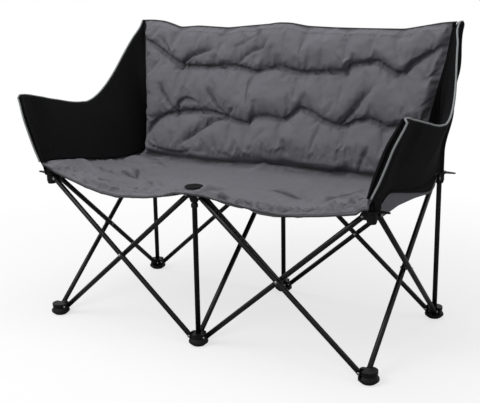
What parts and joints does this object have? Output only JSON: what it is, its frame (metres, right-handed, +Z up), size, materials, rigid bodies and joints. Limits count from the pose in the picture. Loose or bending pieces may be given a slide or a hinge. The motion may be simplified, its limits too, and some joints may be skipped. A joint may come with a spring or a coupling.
{
  "type": "folding camping loveseat",
  "caption": "Two-seat folding camping chair with a padded quilted seat and back, sloping fabric sides and a scissor frame of black steel tube.",
  "frame": {"origin": "on the ground under the middle of the chair's bounding box", "axes": "+X across the seat towards the sitter's left, +Y towards the back, +Z up; the sitter faces -Y"},
  "size_m": [1.3212, 0.6481, 0.9556],
  "materials": {
    "powder_coated_tube": "satin",
    "moulded_plastic": "matte",
    "rivet_steel": "satin",
    "grey_polyester": "matte",
    "black_polyester": "matte"
  },
  "bodies": {
    "back_centre_base": {"foot_back_centre": "moulded_plastic", "post_centre": "powder_coated_tube", "back_pad": "grey_polyester"},
    "front_centre_base": {"foot_front_centre": "moulded_plastic", "strut_front_centre": "powder_coated_tube"},
    "back_left_base": {"foot_back_left": "moulded_plastic", "post_left": "powder_coated_tube", "side_panel_left_rear": "black_polyester"},
    "back_right_base": {"foot_back_right": "moulded_plastic", "post_right": "powder_coated_tube", "side_panel_right_rear": "black_polyester"},
    "front_left_base": {"foot_front_left": "moulded_plastic"},
    "front_right_base": {"foot_front_right": "moulded_plastic"},
    "hub_back_centre_body": {"hub_back_centre": "moulded_plastic"},
    "hub_back_left_body": {"hub_back_left": "moulded_plastic"},
    "hub_back_right_body": {"hub_back_right": "moulded_plastic"},
    "hub_front_centre_body": {"hub_front_centre": "moulded_plastic", "seat_clamp_disc": "moulded_plastic"},
    "hub_front_left_body": {"hub_front_left": "moulded_plastic"},
    "hub_front_right_body": {"hub_front_right": "moulded_plastic"},
    "tube_front_left_a_body": {"tube_front_left_a": "powder_coated_tube"},
    "tube_front_left_b_body": {"tube_front_left_b": "powder_coated_tube", "pin_front_left": "rivet_steel"},
    "tube_front_right_a_body": {"tube_front_right_a": "powder_coated_tube", "pin_front_right": "rivet_steel"},
    "tube_front_right_b_body": {"tube_front_right_b": "powder_coated_tube"},
    "tube_back_left_a_body": {"tube_back_left_a": "powder_coated_tube"},
    "tube_back_left_b_body": {"tube_back_left_b": "powder_coated_tube", "pin_back_left": "rivet_steel"},
    "tube_back_right_a_body": {"tube_back_right_a": "powder_coated_tube", "pin_back_right": "rivet_steel"},
    "tube_back_right_b_body": {"tube_back_right_b": "powder_coated_tube"},
    "tube_side_left_a_body": {"tube_side_left_a": "powder_coated_tube", "pin_side_left": "rivet_steel"},
    "tube_side_left_b_body": {"tube_side_left_b": "powder_coated_tube"},
    "tube_side_middle_a_body": {"tube_side_middle_a": "powder_coated_tube"},
    "tube_side_middle_b_body": {"tube_side_middle_b": "powder_coated_tube", "pin_side_middle": "rivet_steel"},
    "tube_side_right_a_body": {"tube_side_right_a": "powder_coated_tube", "pin_side_right": "rivet_steel"},
    "tube_side_right_b_body": {"tube_side_right_b": "powder_coated_tube"},
    "arm_left": {"arm_pole_left": "powder_coated_tube", "side_panel_left_front": "black_polyester"},
    "arm_right": {"arm_pole_right": "powder_coated_tube", "side_panel_right_front": "black_polyester"},
    "seat_front": {"seat_pad_front": "grey_polyester"},
    "seat_rear": {"seat_pad_rear": "grey_polyester"}
  },
  "joints": [
    {"name": "fold", "type": "hinge", "parent": "back_centre_base", "child": "tube_side_middle_b_body", "pos_m": [0.009, 0.2561, 0.028], "axis": [-1, 0, 0], "range_deg": [0, 43], "deforming": ["seat_pad_front", "seat_pad_rear", "back_pad", "side_panel_left_front", "side_panel_left_rear", "side_panel_right_front", "side_panel_right_rear"]},
    {"name": "cross_side_middle", "type": "hinge", "parent": "tube_side_middle_b_body", "child": "tube_side_middle_a_body", "pos_m": [0, 0, 0.2505], "axis": [-1, 0, 0], "range_deg": [-86, 0]},
    {"name": "hub_front_centre_turn", "type": "hinge", "parent": "tube_side_middle_b_body", "child": "hub_front_centre_body", "pos_m": [0.009, -0.2561, 0.473], "axis": [-1, 0, 0], "range_deg": [-43, 0]},
    {"name": "base_front_centre_turn", "type": "hinge", "parent": "tube_side_middle_a_body", "child": "front_centre_base", "pos_m": [-0.009, -0.2561, 0.028], "axis": [-1, 0, 0], "range_deg": [0, 43]},
    {"name": "hub_back_centre_turn", "type": "hinge", "parent": "tube_side_middle_a_body", "child": "hub_back_centre_body", "pos_m": [-0.009, 0.2561, 0.473], "axis": [-1, 0, 0], "range_deg": [0, 43]},
    {"name": "swing_back_left", "type": "hinge", "parent": "back_centre_base", "child": "tube_back_left_b_body", "pos_m": [-0.0244, 0.2715, 0.028], "axis": [0, 1, 0], "range_deg": [0, 43]},
    {"name": "cross_back_left", "type": "hinge", "parent": "tube_back_left_b_body", "child": "tube_back_left_a_body", "pos_m": [-0.2805, 0.2805, 0.2505], "axis": [0, 1, 0], "range_deg": [-86, 0]},
    {"name": "hub_back_left_turn", "type": "hinge", "parent": "tube_back_left_b_body", "child": "hub_back_left_body", "pos_m": [-0.5366, 0.2715, 0.473], "axis": [0, 1, 0], "range_deg": [-43, 0]},
    {"name": "base_back_left_turn", "type": "hinge", "parent": "tube_back_left_a_body", "child": "back_left_base", "pos_m": [-0.5366, 0.2895, 0.028], "axis": [0, 1, 0], "range_deg": [0, 43]},
    {"name": "swing_back_right", "type": "hinge", "parent": "back_centre_base", "child": "tube_back_right_a_body", "pos_m": [0.0244, 0.2895, 0.028], "axis": [0, -1, 0], "range_deg": [0, 43]},
    {"name": "cross_back_right", "type": "hinge", "parent": "tube_back_right_a_body", "child": "tube_back_right_b_body", "pos_m": [0.2805, 0.2805, 0.2505], "axis": [0, -1, 0], "range_deg": [-86, 0]},
    {"name": "hub_back_right_turn", "type": "hinge", "parent": "tube_back_right_a_body", "child": "hub_back_right_body", "pos_m": [0.5366, 0.2895, 0.473], "axis": [0, -1, 0], "range_deg": [-43, 0]},
    {"name": "base_back_right_turn", "type": "hinge", "parent": "tube_back_right_b_body", "child": "back_right_base", "pos_m": [0.5366, 0.2715, 0.028], "axis": [0, -1, 0], "range_deg": [0, 43]},
    {"name": "swing_front_left", "type": "hinge", "parent": "front_centre_base", "child": "tube_front_left_b_body", "pos_m": [-0.0244, -0.2895, 0.028], "axis": [0, 1, 0], "range_deg": [0, 43]},
    {"name": "cross_front_left", "type": "hinge", "parent": "tube_front_left_b_body", "child": "tube_front_left_a_body", "pos_m": [-0.2805, -0.2805, 0.2505], "axis": [0, 1, 0], "range_deg": [-86, 0]},
    {"name": "hub_front_left_turn", "type": "hinge", "parent": "tube_front_left_b_body", "child": "hub_front_left_body", "pos_m": [-0.5366, -0.2895, 0.473], "axis": [0, 1, 0], "range_deg": [-43, 0]},
    {"name": "base_front_left_turn", "type": "hinge", "parent": "tube_front_left_a_body", "child": "front_left_base", "pos_m": [-0.5366, -0.2715, 0.028], "axis": [0, 1, 0], "range_deg": [0, 43]},
    {"name": "swing_front_right", "type": "hinge", "parent": "front_centre_base", "child": "tube_front_right_a_body", "pos_m": [0.0244, -0.2715, 0.028], "axis": [0, -1, 0], "range_deg": [0, 43]},
    {"name": "cross_front_right", "type": "hinge", "parent": "tube_front_right_a_body", "child": "tube_front_right_b_body", "pos_m": [0.2805, -0.2805, 0.2505], "axis": [0, -1, 0], "range_deg": [-86, 0]},
    {"name": "hub_front_right_turn", "type": "hinge", "parent": "tube_front_right_a_body", "child": "hub_front_right_body", "pos_m": [0.5366, -0.2715, 0.473], "axis": [0, -1, 0], "range_deg": [-43, 0]},
    {"name": "base_front_right_turn", "type": "hinge", "parent": "tube_front_right_b_body", "child": "front_right_base", "pos_m": [0.5366, -0.2895, 0.028], "axis": [0, -1, 0], "range_deg": [0, 43]},
    {"name": "swing_side_right", "type": "hinge", "parent": "front_right_base", "child": "tube_side_right_a_body", "pos_m": [0.552, -0.2561, 0.028], "axis": [1, 0, 0], "range_deg": [0, 43]},
    {"name": "cross_side_right", "type": "hinge", "parent": "tube_side_right_a_body", "child": "tube_side_right_b_body", "pos_m": [0.561, 0, 0.2505], "axis": [1, 0, 0], "range_deg": [-86, 0]},
    {"name": "swing_side_left", "type": "hinge", "parent": "front_left_base", "child": "tube_side_left_a_body", "pos_m": [-0.57, -0.2561, 0.028], "axis": [1, 0, 0], "range_deg": [0, 43]},
    {"name": "cross_side_left", "type": "hinge", "parent": "tube_side_left_a_body", "child": "tube_side_left_b_body", "pos_m": [-0.561, 0, 0.2505], "axis": [1, 0, 0], "range_deg": [-86, 0]},
    {"name": "arm_left_hinge", "type": "hinge", "parent": "hub_front_left_body", "child": "arm_left", "pos_m": [-0.561, -0.2805, 0.504], "axis": [0, 1, 0], "range_deg": [0, 21.02]},
    {"name": "arm_right_hinge", "type": "hinge", "parent": "hub_front_right_body", "child": "arm_right", "pos_m": [0.561, -0.2805, 0.504], "axis": [0, -1, 0], "range_deg": [0, 21.02]},
    {"name": "seat_front_hang", "type": "hinge", "parent": "hub_front_centre_body", "child": "seat_front", "pos_m": [0, -0.2805, 0.494], "axis": [-1, 0, 0], "range_deg": [0, 81.7]},
    {"name": "seat_rear_hang", "type": "hinge", "parent": "hub_back_centre_body", "child": "seat_rear", "pos_m": [0, 0.2586, 0.486], "axis": [1, 0, 0], "range_deg": [0, 81.7]}
  ],
  "couplings": [
    {"joint": "cross_side_middle", "follows": "fold", "ratio": -2},
    {"joint": "hub_front_centre_turn", "follows": "fold", "ratio": -1},
    {"joint": "base_front_centre_turn", "follows": "fold", "ratio": 1},
    {"joint": "hub_back_centre_turn", "follows": "fold", "ratio": 1},
    {"joint": "swing_back_left", "follows": "fold", "ratio": 1},
    {"joint": "cross_back_left", "follows": "fold", "ratio": -2},
    {"joint": "hub_back_left_turn", "follows": "fold", "ratio": -1},
    {"joint": "base_back_left_turn", "follows": "fold", "ratio": 1},
    {"joint": "swing_back_right", "follows": "fold", "ratio": 1},
    {"joint": "cross_back_right", "follows": "fold", "ratio": -2},
    {"joint": "hub_back_right_turn", "follows": "fold", "ratio": -1},
    {"joint": "base_back_right_turn", "follows": "fold", "ratio": 1},
    {"joint": "swing_front_left", "follows": "fold", "ratio": 1},
    {"joint": "cross_front_left", "follows": "fold", "ratio": -2},
    {"joint": "hub_front_left_turn", "follows": "fold", "ratio": -1},
    {"joint": "base_front_left_turn", "follows": "fold", "ratio": 1},
    {"joint": "swing_front_right", "follows": "fold", "ratio": 1},
    {"joint": "cross_front_right", "follows": "fold", "ratio": -2},
    {"joint": "hub_front_right_turn", "follows": "fold", "ratio": -1},
    {"joint": "base_front_right_turn", "follows": "fold", "ratio": 1},
    {"joint": "swing_side_right", "follows": "fold", "ratio": 1},
    {"joint": "cross_side_right", "follows": "fold", "ratio": -2},
    {"joint": "swing_side_left", "follows": "fold", "ratio": 1},
    {"joint": "cross_side_left", "follows": "fold", "ratio": -2},
    {"joint": "arm_left_hinge", "follows": "fold", "ratio": 0.4889},
    {"joint": "arm_right_hinge", "follows": "fold", "ratio": 0.4889},
    {"joint": "seat_front_hang", "follows": "fold", "ratio": 1.9},
    {"joint": "seat_rear_hang", "follows": "fold", "ratio": 1.9}
  ]
}
